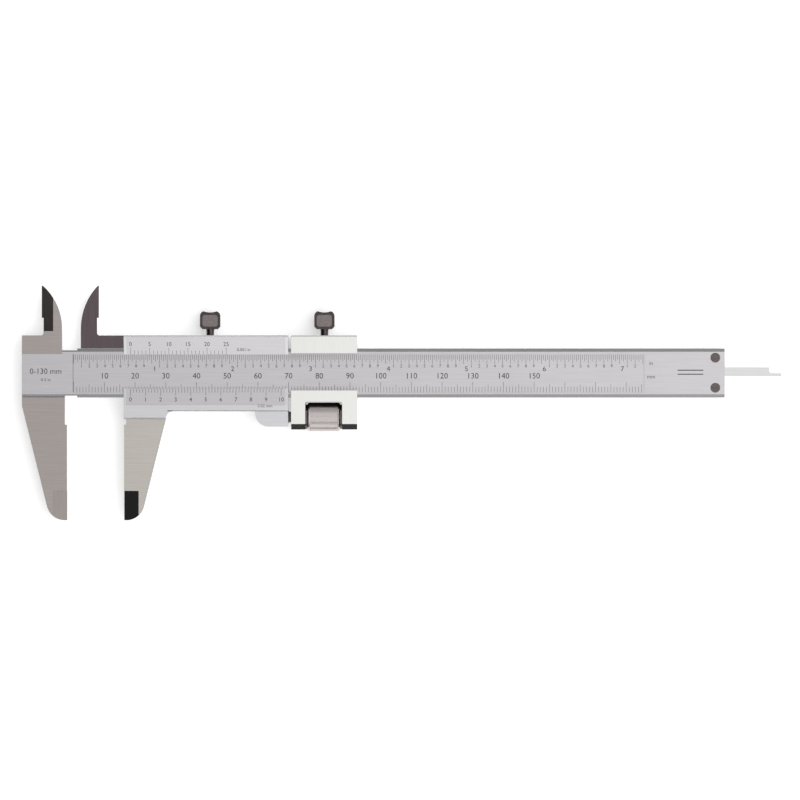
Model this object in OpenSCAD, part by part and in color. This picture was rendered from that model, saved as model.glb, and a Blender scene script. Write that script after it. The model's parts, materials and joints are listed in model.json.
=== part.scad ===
// Vernier caliper with fine adjustment, lying on its back, jaws a little open.
// The modules below share one tool frame, in millimetres: X runs along the beam and is 0 at the fixed
// measuring face, Y runs across the beam from its centreline towards the inside jaws, and Z is 0 at the
// back of the slider. place() then moves everything to the part's origin, which is the middle of its
// footprint on the surface that it lies on.

/* [Beam] */
// Length of the beam, with its head
beam_len = 229; // [220:1:240]
// Width of the beam
beam_w = 16; // [15.5:0.1:16.5]
// Thickness of the beam
beam_t = 3.6; // [3.5:0.05:3.7]
// Length of the head that carries the fixed jaws
head_len = 14.7; // [14:0.1:16]

/* [Jaws] */
// Jaw opening at rest
opening = 18.6; // [1:0.1:60]
// Reach of the outside jaws below the beam
jaw_reach = 40; // [36:1:44]
// Reach of the inside jaws above the beam
nib_reach = 20.5; // [19.5:0.5:22]
// Thickness of the outside jaws
jaw_t = 3; // [2.8:0.1:3.2]
// Angle of the outside jaws' sloping backs
jaw_taper = 14; // [13:0.5:15]

/* [Slider] */
// Length of the slider
slider_len = 53.5; // [52:0.5:58]
// Thickness of the slider
slider_t = 8.2; // [8:0.1:8.2]
// Slope of the vernier faces
vernier_slope = 18; // [18:1:22]

/* [Fine adjustment] */
// Length of the carriage
carriage_len = 21.5; // [20.5:0.5:24]
// Thickness of the carriage
carriage_t = 9.3; // [8.8:0.1:9.4]
// Gap between the slider and the carriage
feed_gap = 1; // [0.8:0.1:1.2]
// Diameter of the feed nut
nut_d = 9.3; // [8.8:0.1:9.3]
// Length of the feed nut
nut_len = 10.6; // [9.6:0.1:11]
// Thread diameter of the feed screw
feed_d = 4; // [3.6:0.1:4]

/* [Clamp screws] */
// Thread diameter of the clamp screws
clamp_d = 2.5; // [2:0.1:2.5]
// Width of their spade heads
clamp_head_w = 6.6; // [6:0.1:7.2]
// Height of their spade heads
clamp_head_h = 5.9; // [5:0.1:6.5]

/* [Depth bar] */
// Width of the depth bar
depth_w = 2.9; // [2.6:0.1:3]
// Thickness of the depth bar
depth_t = 1.5; // [1.3:0.1:1.5]

/* [Hidden] */
$fn = 64;

past = 1;              // how far a cutter runs past the face that it cuts
play = 0.05;           // sliding clearance between moving pieces
bond = 0.5;            // overlap of two bodies that make one solid

// Beam
half_w = beam_w / 2;
back_wall = 2.3;                       // height of the beam's back face over the slider's back
beam_z0 = back_wall;
beam_z1 = beam_z0 + beam_t;
mid_z = beam_z0 + beam_t / 2;          // plane where the two inside jaws meet
beam_x1 = beam_len - head_len;
edge_back = 0.3;                       // chamfer of the beam's back edges
edge_front = [1.1, 0.8];               // chamfer of the beam's front edges, across and down
scale_x = [1.8, 188];                  // ends of the recessed scale face
scale_y = [-6.5, 6.1];                 // edges of the recessed scale face
scale_depth = 0.12;
head_face_y = 6.2;                     // upper edge of the head's raised face
head_step = 0.25;                      // drop from that face to the inside jaw's face
neck_x = 3.3;                          // end of the grinding relief beside the fixed jaws
neck_depth = 0.6;

// Outside jaws, with u the distance behind the measuring face
jaw_tip_y = -half_w - jaw_reach;
jaw_tip_r = 6;                         // rounding of the jaw's end
jaw_tip_u = 0.7;                       // centre of that rounding behind the measuring face
jaw_face_top = -16.8;                  // upper end of the measuring face
jaw_relief = 0.7;                      // step above the measuring face
jaw_z0 = mid_z - jaw_t / 2;
jaw_z1 = mid_z + jaw_t / 2;
tip_bevel_w = 4.75;                    // width of the knife bevels at the jaw's end
tip_bevel_h = 9.6;                     // height of those bevels
tip_land = 0.8;                        // thickness of the measuring face between them

// Inside jaws
nib_top = half_w + nib_reach;
nib_edge_x = -8.3;                     // measuring edge, from the outside measuring face
nib_w_fixed = 6.7;
nib_w_moving = 5.9;
nib_straight = 14.6;                   // height where the curved back begins
nib_edge_low = 18;                     // lower end of the measuring edge
nib_relief = 0.6;
nib_tip_flat = 0.35;
nib_bevel_w = 4.6;
nib_bevel_low = 13.65;
nib_edge_t = 0.3;                      // thickness of the measuring edge
nib_fillet = 0.8;

// Slider, with u the distance from its own measuring face
slider_top = 12.25;
slider_bottom = -12.5;
slider_edge = 0.35;                    // chamfer of its outer edges
lip_y = [-5, 6];                       // edges of the vernier lips
lip_edge_t = 0.45;                     // thickness of the lips at their edges
inner_z0 = beam_z0 - play;
inner_z1 = beam_z1 + play;
inner_y = half_w + play;
gib_t = 0.92;
gib_z = [2.55, 4.95];
gib_y0 = half_w + 0.08;
gib_y1 = gib_y0 + gib_t;
gib_room_y = 9.3;                      // top of the space that the gib lies in
gib_room_z = [gib_z[0] - 0.1, gib_z[1] + 0.1];
clamp_z = (gib_z[0] + gib_z[1]) / 2;
slider_clamp_u = 28;
gib_screw_u = [9, 44.5];
gib_screw_r = 1;
gib_point_r = 0.5;
gib_point_l = 0.4;
thick_jaw_y = -15;                     // lower end of the slider's full thickness, above the jaw
thick_jaw_overlap = 1.5;
thick_jaw_edge = 0.45;                 // chamfer of that end
crook_r = 2.3;                         // fillet between the jaw's back and the slider's lower edge
tab_len = 10.8;                        // lug that holds the feed screw
tab_y = -17.5;
tab_r = 4.5;
tab_inset = 1.9;                       // how much thinner the lug is, on its back
tab_t = 5.4;

// Fine adjustment
feed_y = -14.3;
feed_z = nut_d / 2 + 0.05;
feed_x0 = opening + slider_len;
carriage_x0 = feed_x0 + feed_gap;
carriage_x1 = carriage_x0 + carriage_len;
carriage_top = 12.2;
carriage_bottom = -18.4;
carriage_bevel = [1.8, 1.6];           // bevel of the lugs' lower edges, across and down
carriage_edge = 0.4;
carriage_lip_y = [-5.7, 6.4];
carriage_inner_z = [inner_z0 - play, inner_z1 + play];
window_len = nut_len + 1.4;
window_mid = (carriage_x0 + carriage_x1) / 2 - 0.15;
window_top = -9.35;
window_corner_r = 0.6;
carriage_clamp_x = (carriage_x0 + carriage_x1) / 2;
washer_t = 0.65;
washer_r = 4;
feed_r = feed_d / 2;
feed_end_x = carriage_x1 - 1.4;        // free end of the thread, inside the right lug
shank_r = 1.2;                         // end of the feed screw that the lug holds
shank_l = 8.5;
pin_r = 0.6;
pin_u = slider_len - 5;
pin_top = feed_y + 1.9;
nut_edge = 0.4;
nut_bore_r = feed_r + 0.03;

// Clamp screws
clamp_r = clamp_d / 2;
clamp_head_y = 14.3;
clamp_head_t = 2.8;
clamp_corner = 0.8;                    // chamfer of the head's lower corners
clamp_round = 1.6;                     // rounding of its upper corners
clamp_neck_r = 1.45;                   // neck where it leaves the head
clamp_dip_r = 6;
clamp_dip = 0.45;
clamp_pad = 0.4;                       // depth of the thumb pads in the head
clamp_pad_rim = 0.8;
clamp_pad_r = 0.9;
clamp_point_r = 0.9;

// Depth bar
depth_y = 0.4;                         // its centreline
depth_u0 = 4;                          // its fixed end, from the slider's measuring face
depth_x1 = beam_x1 + opening;
depth_z0 = inner_z0;
depth_screw_u = [8, 20];
groove_w = depth_w + 0.3;
groove_z1 = depth_z0 + depth_t + 0.2;
groove_x0 = 2;
notch_len = 3.9;
notch_y = 0;
notch_r = 0.8;

// End stop
stop_x0 = beam_x1 - 5.1;
stop_y = [-6.9, 7.1];
stop_t = 1.2;
stop_screw_x = beam_x1 - 3.1;
stop_screw_y = [-4.8, 5];
stop_screw_r = 1;
stop_head_r = 1.6;
stop_head_t = 0.7;

// Part's origin in the tool frame
origin_x = (depth_x1 - head_len) / 2;
origin_y = (nib_top + jaw_tip_y) / 2;

steel = [0.72, 0.72, 0.74];
satin = [0.78, 0.78, 0.80];
bright = [0.88, 0.89, 0.87];
black = [0.22, 0.20, 0.20];
bronze = [0.72, 0.52, 0.28];

module place() translate([-origin_x, -origin_y, 0]) children();

// A profile in the YZ plane, drawn along X
module along_x(x0, x1) translate([x0, 0, 0]) rotate([90, 0, 90]) linear_extrude(x1 - x0) children();

// A profile in the XZ plane, drawn along Y
module along_y(y0, y1) translate([0, y1, 0]) rotate([90, 0, 0]) linear_extrude(y1 - y0) children();

module plate(z0, z1) translate([0, 0, z0]) linear_extrude(z1 - z0) children();

module rod_x(x0, x1, y, z, r) translate([x0, y, z]) rotate([0, 90, 0]) cylinder(h = x1 - x0, r = r);

module rod_y(y0, y1, x, z, r) translate([x, y0, z]) rotate([-90, 0, 0]) cylinder(h = y1 - y0, r = r);

// Fills the inside corner at the origin between +x and +y
module corner_fillet(r) difference() {
    square(r);
    translate([r, r]) circle(r);
}

// Straight line of the jaw's sloping back: u at a height y
function jaw_tip_centre() = [jaw_tip_u, jaw_tip_y + jaw_tip_r];
function jaw_tangent() = jaw_tip_centre() + jaw_tip_r * [cos(jaw_taper), -sin(jaw_taper)];
function jaw_back(y) = jaw_tangent()[0] + tan(jaw_taper) * (y - jaw_tangent()[1]);

// Outside jaw from its rounded end up to the height top, measuring face along u = 0
module jaw_outline(top) difference() {
    union() {
        intersection() {
            translate(jaw_tip_centre()) circle(jaw_tip_r);
            translate([0, jaw_tip_y - past]) square([2 * jaw_tip_r, 2 * jaw_tip_r]);
        }
        polygon([[0, top], [0, jaw_tip_centre()[1]], jaw_tangent(), [jaw_back(top), top]]);
    }
    translate([-past, jaw_face_top]) square([past + jaw_relief, top - jaw_face_top + past]);
}

// The two slanting cuts, front and back, that thin the jaw's end to a knife edge
module jaw_tip_bevels() for (side = [0, 1])
    translate([0, 0, mid_z]) mirror([0, 0, side]) along_y(jaw_tip_y - past, jaw_tip_y + tip_bevel_h)
    polygon([
        [-past, tip_land / 2], [0, tip_land / 2], [tip_bevel_w, jaw_t / 2],
        [tip_bevel_w, jaw_t / 2 + past], [-past, jaw_t / 2 + past]
    ]);

module jaw_solid(top) difference() {
    plate(jaw_z0, jaw_z1) jaw_outline(top);
    jaw_tip_bevels();
}

// Inside jaw with its measuring edge along u = 0 and its curved back at u = w
module nib_outline(w, base) {
    rise = nib_top - nib_straight;
    bow = w - nib_tip_flat;
    back_r = (bow * bow + rise * rise) / (2 * bow);
    difference() {
        union() {
            translate([0, base]) square([w, nib_straight - base]);
            intersection() {
                translate([0, nib_straight]) square([w, rise]);
                translate([w - back_r, nib_straight]) circle(back_r);
            }
        }
        translate([-past, base]) square([past + nib_relief, nib_edge_low - base]);
    }
}

// Wedge that sharpens an inside jaw: z0 is the thin edge's side, z1 the face that it runs out on
module nib_bevel(z0, z1) along_y(nib_bevel_low, nib_top + past) polygon([
    [-past, z0], [0, z0], [nib_bevel_w, z1],
    [nib_bevel_w, z1 + sign(z1 - z0) * past], [-past, z1 + sign(z1 - z0) * past]
]);

module countersunk_screw(r, head_r, head_t, len) difference() {
    union() {
        cylinder(h = head_t, r1 = head_r, r2 = r);
        cylinder(h = len, r = r);
    }
    translate([-head_r - past, -0.2, -past]) cube([2 * (head_r + past), 0.4, past + 0.35]);
}

module beam_section() polygon([
    [-half_w + edge_back, beam_z0], [half_w - edge_back, beam_z0], [half_w, beam_z0 + edge_back],
    [half_w, beam_z1 - edge_front[1]], [half_w - edge_front[0], beam_z1],
    [-half_w + edge_front[0], beam_z1], [-half_w, beam_z1 - edge_front[1]],
    [-half_w, beam_z0 + edge_back]
]);

// Beam with its fixed jaws; the inside jaw is half as thick as the beam, so that the moving one
// passes behind it
module main_beam() color(steel) place() difference() {
    union() {
        along_x(-head_len, beam_x1) beam_section();
        mirror([1, 0, 0]) intersection() {
            jaw_solid(-half_w + bond * 2);
            translate([0, jaw_tip_y, 0]) cube([head_len, jaw_reach + half_w, slider_t]);
        }
        difference() {
            plate(mid_z + play, beam_z1) {
                translate([nib_edge_x, 0]) nib_outline(nib_w_fixed, slider_top - bond);
                translate([-head_len, half_w - 2 * bond])
                    square([head_len + nib_edge_x + nib_w_fixed, slider_top - half_w + 2 * bond]);
                translate([nib_edge_x + nib_relief, slider_top]) mirror([1, 0]) corner_fillet(nib_fillet);
            }
            translate([nib_edge_x, 0, 0]) nib_bevel(mid_z + play + nib_edge_t, beam_z1);
        }
    }
    translate([scale_x[0], scale_y[0], beam_z1 - scale_depth])
        cube([scale_x[1] - scale_x[0], scale_y[1] - scale_y[0], past]);
    translate([-head_len - past, head_face_y, beam_z1 - head_step])
        cube([head_len + past + nib_edge_x + nib_w_fixed, nib_top, past]);
    translate([nib_edge_x + nib_w_fixed, half_w - neck_depth, 0])
        cube([neck_x - nib_edge_x - nib_w_fixed, 2 * neck_depth, slider_t]);
    translate([-jaw_relief, -half_w - neck_depth, 0])
        cube([neck_x + jaw_relief, 2 * neck_depth, slider_t]);
    along_x(-head_len - past, 0) polygon([
        [-half_w, beam_z1 - edge_front[1]], [-half_w + edge_front[0], beam_z1], [-half_w, beam_z1]
    ]);
    translate([groove_x0, depth_y - groove_w / 2, beam_z0 - past])
        cube([beam_len, groove_w, groove_z1 - beam_z0 + past]);
    for (y = stop_screw_y) {
        translate([stop_screw_x, y, beam_z0 - past]) cylinder(h = beam_t + 2 * past, r = stop_screw_r);
        translate([stop_screw_x, y, beam_z1 - stop_head_t])
            cylinder(h = stop_head_t, r1 = stop_screw_r, r2 = stop_head_r);
    }
}

module end_stop_plate() color(steel) place() difference() {
    translate([stop_x0, stop_y[0], beam_z0 - stop_t])
        cube([beam_x1 - stop_x0, stop_y[1] - stop_y[0], stop_t]);
    translate([stop_x0 - past, depth_y - groove_w / 2, depth_z0 - play])
        cube([beam_x1 - stop_x0 + 2 * past, groove_w, past]);
    for (y = stop_screw_y)
        translate([stop_screw_x, y, 0]) cylinder(h = beam_z1, r = stop_screw_r);
}

module end_stop_screw(y) color(black) place() translate([stop_screw_x, y, beam_z1]) mirror([0, 0, 1])
    countersunk_screw(stop_screw_r, stop_head_r, stop_head_t, beam_t + stop_t);

// Profile of the slider around the beam, with sloping vernier lips over the beam's face
module slider_section() {
    lip_rise = slider_t - inner_z1 - lip_edge_t;
    lip_run = lip_rise / tan(vernier_slope);
    polygon([
        [slider_bottom + slider_edge, 0], [slider_top - slider_edge, 0], [slider_top, slider_edge],
        [slider_top, slider_t - slider_edge], [slider_top - slider_edge, slider_t],
        [lip_y[1] + lip_run, slider_t], [lip_y[1], inner_z1 + lip_edge_t], [lip_y[1], inner_z1],
        [inner_y, inner_z1], [inner_y, gib_room_z[1]], [gib_room_y, gib_room_z[1]],
        [gib_room_y, gib_room_z[0]], [inner_y, gib_room_z[0]], [inner_y, inner_z0],
        [-inner_y, inner_z0], [-inner_y, inner_z1], [lip_y[0], inner_z1],
        [lip_y[0], inner_z1 + lip_edge_t], [lip_y[0] - lip_run, slider_t],
        [slider_bottom + slider_edge, slider_t], [slider_bottom, slider_t - slider_edge],
        [slider_bottom, slider_edge]
    ]);
}

// Full-thickness root of the moving outside jaw, with the fillet in its crook
module jaw_root_outline() {
    corner = [jaw_back(slider_bottom), slider_bottom];
    centre = corner + crook_r * [(1 - sin(jaw_taper)) / cos(jaw_taper), -1];
    polygon([
        [0, slider_bottom + thick_jaw_overlap], [0, thick_jaw_y], [jaw_back(thick_jaw_y), thick_jaw_y],
        corner, [corner[0], slider_bottom + thick_jaw_overlap]
    ]);
    difference() {
        polygon([
            corner, [centre[0], slider_bottom], centre,
            centre - crook_r * [cos(jaw_taper), -sin(jaw_taper)]
        ]);
        translate(centre) circle(crook_r);
    }
}

module tab_outline() translate([slider_len - tab_len, 0]) {
    translate([tab_r, tab_y]) square([tab_len - tab_r, slider_bottom + bond - tab_y]);
    translate([0, tab_y + tab_r]) square([tab_len, slider_bottom + bond - tab_y - tab_r]);
    translate([tab_r, tab_y + tab_r]) circle(tab_r);
}

// Slider with its vernier lips, both moving jaws and the lug that holds the feed screw
module slider_frame() color(satin) place() translate([opening, 0, 0]) difference() {
    union() {
        along_x(0, slider_len) slider_section();
        plate(0, slider_t) jaw_root_outline();
        jaw_solid(thick_jaw_y + bond);
        plate(tab_inset, tab_inset + tab_t) tab_outline();
        difference() {
            plate(beam_z0, mid_z - play) {
                mirror([1, 0]) translate([-nib_edge_x, 0]) nib_outline(nib_w_moving, slider_top - bond);
                translate([nib_edge_x - nib_w_moving, inner_y])
                    square([nib_w_moving - nib_edge_x + bond, slider_top - inner_y]);
                translate([nib_edge_x - nib_relief, slider_top]) corner_fillet(nib_fillet);
            }
            mirror([1, 0, 0]) translate([-nib_edge_x, 0, 0])
                nib_bevel(mid_z - play - nib_edge_t, beam_z0);
        }
    }
    along_x(-past, jaw_back(slider_bottom)) polygon([
        [thick_jaw_y, slider_t - thick_jaw_edge], [thick_jaw_y + thick_jaw_edge, slider_t],
        [thick_jaw_y, slider_t]
    ]);
    rod_y(gib_room_y - past, slider_top + past, slider_clamp_u, clamp_z, clamp_r + play);
    for (u = gib_screw_u) rod_y(gib_room_y - past, slider_top + past, u, clamp_z, gib_screw_r);
    rod_x(slider_len - shank_l, slider_len + past, feed_y, feed_z, shank_r);
    rod_y(tab_y - past, pin_top, pin_u, feed_z, pin_r);
    for (u = depth_screw_u) translate([u, depth_y, 0]) {
        cylinder(h = back_wall, r = 0.8);
        cylinder(h = 0.75, r1 = 1.5, r2 = 0.8);
    }
}

module gib_strip(x0, x1) translate([x0, gib_y0, gib_z[0]]) cube([x1 - x0, gib_t, gib_z[1] - gib_z[0]]);

// Spring strip between the slider and the beam's top edge, held by the points of its two screws
module slider_gib() color(bronze) place() translate([opening, 0, 0]) difference() {
    gib_strip(3, slider_len - 3);
    for (u = gib_screw_u)
        rod_y(gib_y1 - gib_point_l - play, gib_y1 + past, u, clamp_z, gib_point_r + play);
}

module gib_screw(u) color(black) place() translate([opening, 0, 0]) difference() {
    union() {
        rod_y(gib_y1, slider_top - 0.25, u, clamp_z, gib_screw_r);
        rod_y(gib_y1 - gib_point_l, gib_y1, u, clamp_z, gib_point_r);
    }
    translate([u - 0.2, slider_top - 0.75, clamp_z - 2 * gib_screw_r])
        cube([0.4, past, 4 * gib_screw_r]);
}

// Outline of a clamp screw's head: sloping lower corners, round upper ones, and a dip in the top
module spade_outline() difference() {
    half_head = clamp_head_w / 2;
    shoulder = clamp_head_h - clamp_round;
    union() {
        polygon([
            [clamp_corner - half_head, 0], [half_head - clamp_corner, 0], [half_head, clamp_corner],
            [half_head, shoulder], [-half_head, shoulder], [-half_head, clamp_corner]
        ]);
        translate([clamp_round - half_head, 0]) square([2 * (half_head - clamp_round), clamp_head_h]);
        for (side = [-1, 1]) translate([side * (half_head - clamp_round), shoulder]) circle(clamp_round);
    }
    translate([0, clamp_head_h + clamp_dip_r - clamp_dip]) circle(clamp_dip_r);
}

module pad_outline() {
    w = clamp_head_w - 2 * clamp_pad_rim;
    h = clamp_head_h - 2 * clamp_pad_rim - clamp_dip;
    r = clamp_pad_r;
    translate([-w / 2 + r, clamp_pad_rim]) square([w - 2 * r, h]);
    translate([-w / 2, clamp_pad_rim + r]) square([w, h - 2 * r]);
    for (x = [-w / 2 + r, w / 2 - r], y = [r, h - r]) translate([x, clamp_pad_rim + y]) circle(r);
}

// Thumb screw with a flat spade head; its point goes down to the height tip
module clamp_screw(x, tip) color(black) place() translate([x, 0, clamp_z]) {
    difference() {
        translate([0, clamp_head_y, 0]) plate(-clamp_head_t / 2, clamp_head_t / 2) spade_outline();
        for (side = [-1, 1]) translate([0, clamp_head_y, side * (clamp_head_t / 2 + past - clamp_pad)])
            plate(-past, past) pad_outline();
    }
    translate([0, clamp_head_y + 0.6, 0]) rotate([90, 0, 0])
        cylinder(h = 1.4, r1 = clamp_neck_r, r2 = clamp_r);
    rod_y(gib_y1 + 0.3, clamp_head_y, 0, 0, clamp_r);
    rod_y(tip, gib_y1 + 0.4, 0, 0, clamp_point_r);
}

module depth_bar() color(steel) place() difference() {
    translate([opening + depth_u0, depth_y - depth_w / 2, depth_z0])
        cube([depth_x1 - opening - depth_u0, depth_w, depth_t]);
    translate([0, 0, depth_z0 - past]) linear_extrude(depth_t + 2 * past) {
        translate([depth_x1 - notch_len + notch_r, notch_y]) square([notch_len, depth_w]);
        translate([depth_x1 - notch_len, notch_y + notch_r]) square([notch_len, depth_w]);
        translate([depth_x1 - notch_len + notch_r, notch_y + notch_r]) circle(notch_r);
    }
    for (u = depth_screw_u)
        translate([opening + u, depth_y, depth_z0 - past]) cylinder(h = past + 1.1, r = 0.8);
}

module depth_bar_screw(u) color(black) place() translate([opening + u, depth_y, 0.05])
    countersunk_screw(0.8, 1.4, 0.7, depth_z0 + 1);

// Feed screw: threaded stem with its shoulder against the lug, and a thinner plain shank inside it
module feed_screw() color(black) place() difference() {
    union() {
        rod_x(feed_x0 - shank_l + 0.2, feed_x0, feed_y, feed_z, shank_r);
        rod_x(feed_x0, feed_end_x, feed_y, feed_z, feed_r);
    }
    rod_y(feed_y - 2 * shank_r, pin_top, opening + pin_u, feed_z, pin_r);
}

module feed_screw_pin() color(steel) place()
    rod_y(tab_y + 0.1, pin_top, opening + pin_u, feed_z, pin_r);

module carriage_section() difference() {
    polygon([
        [carriage_bottom + carriage_bevel[0], 0], [carriage_top - carriage_edge, 0],
        [carriage_top, carriage_edge], [carriage_top, carriage_t - carriage_edge],
        [carriage_top - carriage_edge, carriage_t], [carriage_bottom + carriage_bevel[0], carriage_t],
        [carriage_bottom, carriage_t - carriage_bevel[1]], [carriage_bottom, carriage_bevel[1]]
    ]);
    translate([-inner_y, carriage_inner_z[0]])
        square([2 * inner_y, carriage_inner_z[1] - carriage_inner_z[0]]);
    translate([0, gib_room_z[0]]) square([gib_room_y, gib_room_z[1] - gib_room_z[0]]);
    translate([carriage_lip_y[0], inner_z1]) square([carriage_lip_y[1] - carriage_lip_y[0], carriage_t]);
}

// Window for the nut, open at the bottom, with round upper corners; its upper edge is at y = 0
module window_outline() {
    r = window_corner_r;
    depth = window_top - carriage_bottom + past;
    translate([-window_len / 2, -depth]) square([window_len, depth - r]);
    translate([r - window_len / 2, -depth]) square([window_len - 2 * r, depth]);
    for (side = [-1, 1]) translate([side * (window_len / 2 - r), -r]) circle(r);
}

// Carriage that clamps to the beam and holds the feed nut between its two lugs
module feed_carriage() color(bright) place() difference() {
    along_x(carriage_x0, carriage_x1) carriage_section();
    plate(-past, carriage_t + past) translate([window_mid, window_top]) window_outline();
    rod_x(carriage_x0 - past, carriage_x1 + past, feed_y, feed_z, feed_r + 2 * play);
    rod_y(gib_room_y - past, carriage_top + past, carriage_clamp_x, clamp_z, clamp_r + play);
}

module carriage_gib() color(bronze) place() difference() {
    gib_strip(carriage_x0 + 1.5, carriage_x1 - 1.5);
    rod_y(gib_y1 - 0.5, gib_y1 + past, carriage_clamp_x, clamp_z, clamp_point_r + play);
}

module nut_washer(x0) color(black) place() difference() {
    rod_x(x0, x0 + washer_t, feed_y, feed_z, washer_r);
    rod_x(x0 - past, x0 + washer_t + past, feed_y, feed_z, feed_r + 2 * play);
}

// Feed nut with chamfered ends, turned from its profile of radius against length
module feed_nut() color(satin) place()
    translate([window_mid - nut_len / 2, feed_y, feed_z]) rotate([0, 90, 0]) rotate_extrude() polygon([
        [nut_bore_r, 0], [nut_d / 2 - nut_edge, 0], [nut_d / 2, nut_edge],
        [nut_d / 2, nut_len - nut_edge], [nut_d / 2 - nut_edge, nut_len], [nut_bore_r, nut_len]
    ]);

main_beam();
end_stop_plate();
end_stop_screw(stop_screw_y[1]);  // end_stop_screw_upper
end_stop_screw(stop_screw_y[0]);  // end_stop_screw_lower
slider_frame();
slider_gib();
gib_screw(gib_screw_u[0]);  // gib_screw_left
gib_screw(gib_screw_u[1]);  // gib_screw_right
clamp_screw(opening + slider_clamp_u, gib_y1 + play);  // slider_clamp_screw
depth_bar();
depth_bar_screw(depth_screw_u[0]);  // depth_bar_screw_left
depth_bar_screw(depth_screw_u[1]);  // depth_bar_screw_right
feed_screw();
feed_screw_pin();
feed_carriage();
carriage_gib();
clamp_screw(carriage_clamp_x, gib_y1 - 0.4);  // carriage_clamp_screw
nut_washer(window_mid - nut_len / 2 - washer_t);  // nut_washer_left
nut_washer(window_mid + nut_len / 2);  // nut_washer_right
feed_nut();
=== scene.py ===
import json
import math

import bmesh
import bpy
from bpy.props import FloatProperty, FloatVectorProperty, IntProperty, PointerProperty
from mathutils import Matrix, Vector
from mathutils.bvhtree import BVHTree


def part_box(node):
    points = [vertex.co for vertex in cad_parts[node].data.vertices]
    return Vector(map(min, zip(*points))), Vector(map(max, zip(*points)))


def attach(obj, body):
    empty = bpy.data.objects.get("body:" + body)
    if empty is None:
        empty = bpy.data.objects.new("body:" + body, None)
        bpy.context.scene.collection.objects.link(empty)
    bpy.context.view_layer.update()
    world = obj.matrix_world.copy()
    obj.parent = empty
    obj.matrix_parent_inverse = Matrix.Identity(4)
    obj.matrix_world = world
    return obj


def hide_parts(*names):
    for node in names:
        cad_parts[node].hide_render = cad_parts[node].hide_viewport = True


bl_info = {
    "name": "Vernier Caliper",
    "version": (1, 0, 0),
    "blender": (4, 5, 0),
    "location": "View3D > Sidebar > Caliper",
    "description": "Gives a packed vernier caliper its scales, knurling, thread and steel finishes",
    "category": "Object",
}

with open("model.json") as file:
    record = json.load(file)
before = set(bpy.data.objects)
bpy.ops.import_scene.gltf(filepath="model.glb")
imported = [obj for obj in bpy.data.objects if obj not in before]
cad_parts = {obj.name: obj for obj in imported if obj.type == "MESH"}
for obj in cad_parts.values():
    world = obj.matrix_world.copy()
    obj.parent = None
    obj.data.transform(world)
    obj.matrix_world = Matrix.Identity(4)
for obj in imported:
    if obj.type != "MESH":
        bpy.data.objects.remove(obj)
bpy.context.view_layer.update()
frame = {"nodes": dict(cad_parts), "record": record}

MM = 0.001
INCH = 25.4 * MM
MOUNTS = {mount["name"]: Vector(mount["pos_m"]) for mount in frame["record"]["mounts"]}
FIXED_FACE_X = MOUNTS["fixed_jaw_face"].x
MOVING_FACE_X = MOUNTS["moving_jaw_face"].x
BEAM_Y = MOUNTS["beam_grip"].y
BEAM_TOP_Z = MOUNTS["beam_grip"].z

CORNER = math.radians(24)    # a sharper edge between two faces is a real corner
LEVEL = 0.985                # least Z of a level face's normal
SLOPED = 0.85                # least Z of a bevel's normal
ENDWISE = 0.99               # least X of a measuring face's normal


# ---------------------------------------------------------------- settings


class CaliperScaleSettings(bpy.types.PropertyGroup):
    """Sizes of the engraved scales"""

    zero_offset: FloatProperty(
        name="Zero Offset", description="Distance of each zero line from its measuring face",
        default=2.2 * MM, unit="LENGTH", precision=5)
    line_width: FloatProperty(
        name="Line Width", description="Width of a graduation line",
        default=0.11 * MM, unit="LENGTH", precision=5)
    line_height: FloatProperty(
        name="Fill Height", description="How far the filled lines stand out of the steel",
        default=0.012 * MM, unit="LENGTH", precision=6)
    metric_numeral: FloatProperty(
        name="Metric Numerals", description="Height of the metric scale's numerals",
        default=1.8 * MM, unit="LENGTH", precision=5)
    inch_numeral: FloatProperty(
        name="Inch Numerals", description="Height of the inch scale's whole numbers",
        default=1.6 * MM, unit="LENGTH", precision=5)
    tenth_numeral: FloatProperty(
        name="Tenths Numerals", description="Height of the inch scale's tenths",
        default=1.0 * MM, unit="LENGTH", precision=5)
    vernier_numeral: FloatProperty(
        name="Vernier Numerals", description="Height of the numerals on both verniers",
        default=1.3 * MM, unit="LENGTH", precision=5)
    legend_numeral: FloatProperty(
        name="Legend Height", description="Height of the small legends",
        default=0.95 * MM, unit="LENGTH", precision=5)
    ink: FloatVectorProperty(
        name="Fill Colour", description="Colour of the filled lines and numerals",
        default=(0.035, 0.034, 0.04), subtype="COLOR", min=0, max=1)


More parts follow.
